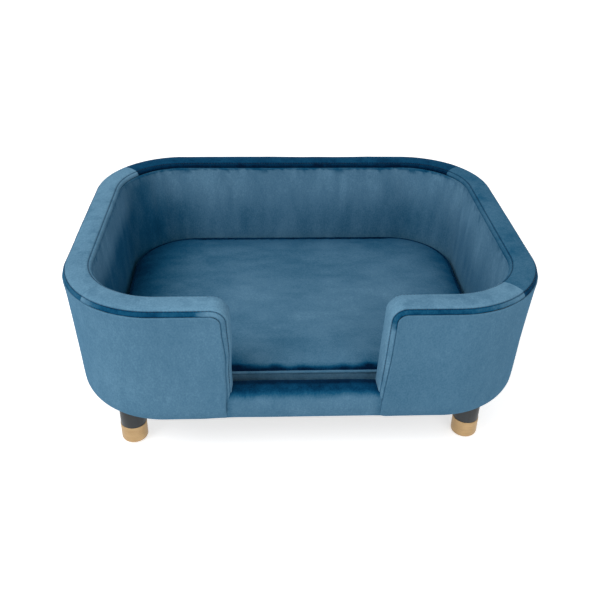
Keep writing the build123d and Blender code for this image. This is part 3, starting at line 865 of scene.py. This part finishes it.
# Piping. A cord sheathed in the same velvet, sewn into the top and the base seam of the cushion:
# a closed tube along the outline, a little gathered by its stitches.


def piping(name, seam, front_tone, stands_for):
    """Closed tube along a seam: circles square to it, their radius gathered by noise along its
    length."""
    ahead = np.roll(seam, -1, axis=0) - np.roll(seam, 1, axis=0)
    length = np.cumsum(np.linalg.norm(ahead, axis=1) / 2)
    angle = np.arange(12) * 2 * math.pi / 12
    radius = half_piping * (1 + 0.06 * noise(on_line(length), 0.006, 61))
    swing = np.cos(angle)[:, None] * outward(seam)[:, None] + np.sin(angle)[:, None] * np.array([0, 0, 1.0])
    points = seam[:, None] + swing * radius[:, None, None]
    low = np.arange(len(seam) * len(angle)).reshape(len(seam), len(angle))
    faces = ring_faces(low, np.roll(low, -1, axis=0))[:, ::-1]
    piece = new_piece(name, points.reshape(-1, 3), faces, blue_velvet, "cushion")
    # Painted light and shade: the piping is light along the front and near black further back.
    back_tone = 0.06
    at_front = smooth(cushion_front + 0.09, cushion_front + 0.04, points[..., 1])
    set_nap_and_light(piece, back_tone + (front_tone - back_tone) * at_front + 0.04 * noise(points, 0.01, 62))
    finish_cushion(piece, stands_for)


fine_grid = np.meshgrid(np.linspace(-1, 1, 160), np.linspace(-1, 1, 120))
x, y = cushion_plan(*map(edge_loop, fine_grid))
piping("piping_top", np.stack([x, y, 0 * x + seam_z], -1), 0.62, "cushion_piping_top")
piping("piping_base", np.stack([x, y, 0 * x + base_low + half_piping], -1), 0.55, "cushion_piping_bottom")

# Legs. Four round legs of turned beech under black satin lacquer, with a small bevel at the top,
# each in a cup of brushed brass that is closed below and rolled in at its lip.
shank, bevel, seat_step, seat_depth = 0.0195, 0.0008, 0.002, 0.004
cup_round, lip, foot_hole, lip_gap = 0.004, 0.0009, 0.006, 0.0005


def lathe(name, profile, centre, material, sides):
    """Turned piece: a profile of radius and height carried round an upright axis, its two ends
    closed by a disc of faces to one middle point."""
    angle = np.arange(sides) * 2 * math.pi / sides
    radius, height = np.array(profile).T[:, :, None]
    grid = np.stack([centre[0] + radius * np.cos(angle), centre[1] + radius * np.sin(angle),
                     height + 0 * angle], -1)
    low = np.arange(len(profile) * sides).reshape(-1, sides)
    points = np.concatenate([grid.reshape(-1, 3), [[*centre, profile[0][1]], [*centre, profile[-1][1]]]])
    faces = ring_faces(low[:-1], low[1:]).tolist()
    for middle, ring, step in ((low.size, low[0], -1), (low.size + 1, low[-1], 1)):
        faces += [[middle, *pair[::step]] for pair in zip(ring.tolist(), np.roll(ring, -1).tolist())]
    return new_piece(name, points, faces, material, "sofa")


def vary_gloss(material, pattern, share, smoothest):
    """Roughness that follows a pattern, from the smoothest places up."""
    tree = material.node_tree
    rough = calculate(tree, "MULTIPLY_ADD", pattern, share, smoothest)
    tree.links.new(rough, tree.nodes["Principled BSDF"].inputs["Roughness"])
    return material


def lacquer_material():
    """Black satin lacquer over turned wood, with the grain just showing and soft rub marks."""
    material = two_tone("black_lacquer", (20, 24, 27), (36, 42, 46), 90, (1, 1, 0.06), 0.36,
                        detail=5, relief=0.15)
    rub = texture(material.node_tree, 220, (1, 1, 0.2), 3)
    return vary_gloss(material, rub, 0.2, 0.28)


def brass_material():
    """Brushed brass: fine marks round the cup, from the brush, and a slightly uneven tone."""
    material, tree, shader = new_material("brushed_brass", 0.36, 1.0)
    marks = texture(tree, 320, (0.10, 0.10, 7), 4)
    cloud = texture(tree, 60, detail=3)
    tone = calculate(tree, "MULTIPLY_ADD", cloud, 0.35, calculate(tree, "MULTIPLY", marks, 0.65))
    colour_by(tree, shader, tone, [(0.3, (158, 130, 92)), (0.7, (196, 166, 125))])
    bump(tree, shader, marks, 0.25, 0.0002)
    return vary_gloss(material, marks, 0.22, 0.30)


black_lacquer, brushed_brass = lacquer_material(), brass_material()
for place in ("front_left", "front_right", "rear_left", "rear_right"):
    low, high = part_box("brass_cup_" + place)
    centre, cup_radius = ((low.x + high.x) / 2, (low.y + high.y) / 2), (high.x - low.x) / 2
    leg_top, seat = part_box("leg_" + place)[1].z, high.z - seat_depth
    leg = lathe("turned_leg_" + place, [
        (shank - seat_step, seat), (shank, seat), (shank, high.z), (shank, leg_top - bevel),
        (shank - bevel, leg_top)], centre, black_lacquer, 48)
    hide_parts("leg_" + place)
    turns = np.linspace(0, math.pi / 2, 8)
    sine, cosine = np.sin(turns), np.cos(turns)
    foot = np.stack([cup_radius - cup_round * (1 - sine), low.z + cup_round * (1 - cosine)], -1)
    rolled = np.stack([cup_radius - lip * (1 - cosine), high.z - lip * (1 - sine)], -1)
    profile = [(foot_hole, low.z), *foot, *rolled, (shank - lip_gap, high.z - lip)]
    cup = lathe("brass_foot_" + place, profile, centre, brushed_brass, 64)
    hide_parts("brass_cup_" + place)

# Deck and underside. The deck cloth is stretched over the base board under the cushion, and a
# black dust cover of spunbonded cloth closes the underside. Both are thin sheets.
deck_tuck, waviness = 0.005, 0.0002


def cloth_material():
    """Plain cloth: threads crossing in two directions, darker between them, with soft clouds."""
    material, tree, shader = new_material("black_cloth", 0.9)
    clouds = texture(tree, 45, detail=4)
    waves = []
    for direction in ("X", "Y"):
        wave = texture(tree, 260, kind="ShaderNodeTexWave")
        wave.node.bands_direction = direction
        set_inputs(wave.node, {"Distortion": 1.0})
        waves.append(wave)
    height = calculate(tree, "MAXIMUM", *waves)
    tone = calculate(tree, "MULTIPLY_ADD", height, 0.35, calculate(tree, "MULTIPLY", clouds, 0.6))
    colour_by(tree, shader, tone, [(0.2, (16, 17, 19)), (0.8, (38, 40, 43))])
    bump(tree, shader, height, 0.3, 0.0003)
    return material


def rounded_sheet(name, node, tuck, thinner):
    """Thin closed sheet in place of a node: a level rounded rectangle, a little wavy by noise
    between its tacks. It reaches a tuck past the node's edge and may be thinner than the node."""
    low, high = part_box(node)
    half_x, half_y = high.x + tuck, high.y + tuck
    corner = plan_radius - half_width + half_x
    a, b = np.meshgrid(np.linspace(-1, 1, 61), np.linspace(-1, 1, 45))
    x, y = rounded_plan(a, b, half_x, half_y, corner)
    grid = np.stack([np.sign(a) * x, np.sign(b) * y, high.z + 0 * x], -1)
    grid[..., 2] += waviness * noise(grid, 0.06, 71)
    sheet = shell(name, grid, 0, black_cloth, high.z - low.z - thinner, turned=True)
    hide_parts(node)


black_cloth = cloth_material()
rounded_sheet("deck_sheet", "deck_cloth", deck_tuck, 0)
rounded_sheet("dust_sheet", "dust_cover", 0, waviness)

# Zip. A woven tape sewn into the back of the boxing, a moulded chain of teeth on it, each tooth
# a short upright bar with a rounded front, and a metal slider with a flat pull.
pitch, tooth, tooth_waist = 0.0025, 0.0016, 0.0004


def refinish(material, *names):
    """Give solids that show as they are a finish of their own."""
    for name in names:
        nodes[name].data.materials.clear()
        nodes[name].data.materials.append(material)


zip_nylon = two_tone("zip_nylon", (14, 44, 68), (34, 74, 100), 700, (1, 1, 1), 0.45)
low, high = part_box("zip_chain")
count, sides = int((high.x - low.x) / pitch), 6
centre_x = low.x + (np.arange(count) + 0.5) * (high.x - low.x) / count
turn = np.arange(sides) * 2 * math.pi / sides
outline = [np.cos(turn) * tooth / 2, np.maximum(np.sin(turn), -0.2) * (high.y - low.y), 0 * turn]
middle = (low.z + high.z) / 2
ends = np.array([low.z, middle - tooth_waist, middle + tooth_waist, high.z])
size = np.array([0.6, 1.0, 1.0, 0.6])
bar = np.stack(outline, -1) * size[:, None, None] + on_line(ends)[:, None, ::-1]
teeth = bar + (on_line(centre_x) + (0, low.y, 0))[:, None, None]
chain = new_piece("zip_teeth", teeth.reshape(-1, 3), capsule_faces(count, len(ends), sides), zip_nylon,
                  "cushion")
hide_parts("zip_chain")
refinish(two_tone("zip_tape", (10, 40, 64), (26, 66, 92), 900, (0.3, 1, 1), 0.85), "zip_tape")
refinish(two_tone("zip_metal", (120, 122, 126), (165, 168, 172), 500, (1, 1, 0.2), 0.35, 1.0),
         "zip_slider", "zip_pull")

# Frame inside. Plywood base board, solid timber rails, posts and studs, bent hardboard on both
# faces of the studs, and the steel fittings of the legs. The foot of each leg has a felt glide.
refinish(two_tone("plywood", (176, 138, 94), (206, 172, 128), 30, (0.15, 1, 6), 0.6),
         "base_board", "rim_rail", "sill_rail", "end_post_left", "end_post_right", "wall_studs")
refinish(two_tone("hardboard", (98, 68, 44), (128, 92, 62), 400, (1, 1, 1), 0.7),
         "outer_hardboard", "inner_hardboard")
refinish(two_tone("zinc_steel", (150, 154, 158), (190, 194, 198), 120, (1, 1, 1), 0.3, 1.0),
         "leg_tee_nuts", "leg_bolts")
refinish(two_tone("felt", (40, 40, 42), (70, 70, 72), 1200, (1, 1, 1), 0.95), "leg_glides")

# Floor, light and camera. A white floor and world, a broad soft lamp from the left and above,
# a fainter one from the front, and the camera at the photograph's viewing angle.
floor_size, floor_glow, daylight = 12, 0.62, 0.55


def direct_rays(tree):
    """Value 1 for rays from the camera, from a mirror and through glass, and 0 for others."""
    path = tree.nodes.new("ShaderNodeLightPath")
    seen = path.outputs["Is Camera Ray"]
    for ray in ("Is Glossy Ray", "Is Transmission Ray"):
        seen = calculate(tree, "MAXIMUM", seen, path.outputs[ray])
    return seen


floor_mesh = bpy.data.meshes.new("floor")
corners = [(x * floor_size, y * floor_size, 0) for x, y in ((-1, -1), (1, -1), (1, 1), (-1, 1))]
floor_mesh.from_pydata(corners, [], [(0, 1, 2, 3)])
add_object("floor", floor_mesh)
material, tree, shader = new_material("floor", 0.9)
set_inputs(shader, {"Base Color": (0.9, 0.9, 0.9, 1), "Specular IOR Level": 0,
                    "Emission Color": (1, 1, 1, 1)})
glow = calculate(tree, "MULTIPLY", direct_rays(tree), floor_glow)
tree.links.new(glow, shader.inputs["Emission Strength"])
floor_mesh.materials.append(material)

scene = bpy.context.scene
scene.world = bpy.data.worlds.new("studio")
scene.world.use_nodes = True
tree = scene.world.node_tree
sky = tree.nodes["Background"]
tree.links.new(calculate(tree, "MAXIMUM", direct_rays(tree), daylight), sky.inputs["Strength"])
set_inputs(sky, {"Color": (1, 1, 1, 1)})


def area_lamp(name, place, size, power):
    """Square soft lamp at a place, turned to the middle of the object."""
    lamp = bpy.data.lights.new(name, "AREA")
    lamp.size, lamp.energy = size, power
    holder = add_object(name, lamp)
    holder.location = place
    holder.rotation_mode = "QUATERNION"
    holder.rotation_quaternion = (Vector((0, 0, 0.15)) - Vector(place)).to_track_quat("-Z", "Y")


area_lamp("key_lamp", (-1.6, -1.2, 2.4), 1.6, 38)
area_lamp("front_lamp", (0.9, -2.4, 1.4), 1.8, 14)

camera_distance, aim_height = 1.294, 0.150
elevation, heading, roll = map(math.radians, (31.9, -3.0, 1.1))
picture, focal, shift_right, shift_up = 600, 753.9, 2.8, -12.2
camera = bpy.data.cameras.new("camera")
camera.sensor_width = 36
camera.lens = focal / picture * camera.sensor_width
camera.shift_x, camera.shift_y = shift_right / picture, shift_up / picture
camera.clip_start, camera.clip_end = 0.05, 50
holder = add_object("camera", camera)
scene.camera = holder
back = np.array([math.sin(heading) * math.cos(elevation), -math.cos(heading) * math.cos(elevation),
                 math.sin(elevation)])
right = unit(np.cross((0, 0, 1), back))
up = np.cross(back, right)
axes = [right * math.cos(roll) + up * math.sin(roll), up * math.cos(roll) - right * math.sin(roll), back]
holder.location = (0, 0, aim_height) + back * camera_distance
holder.rotation_mode = "QUATERNION"
holder.rotation_quaternion = Matrix(np.stack(axes, -1).tolist()).to_quaternion()
scene.view_settings.view_transform = "Standard"
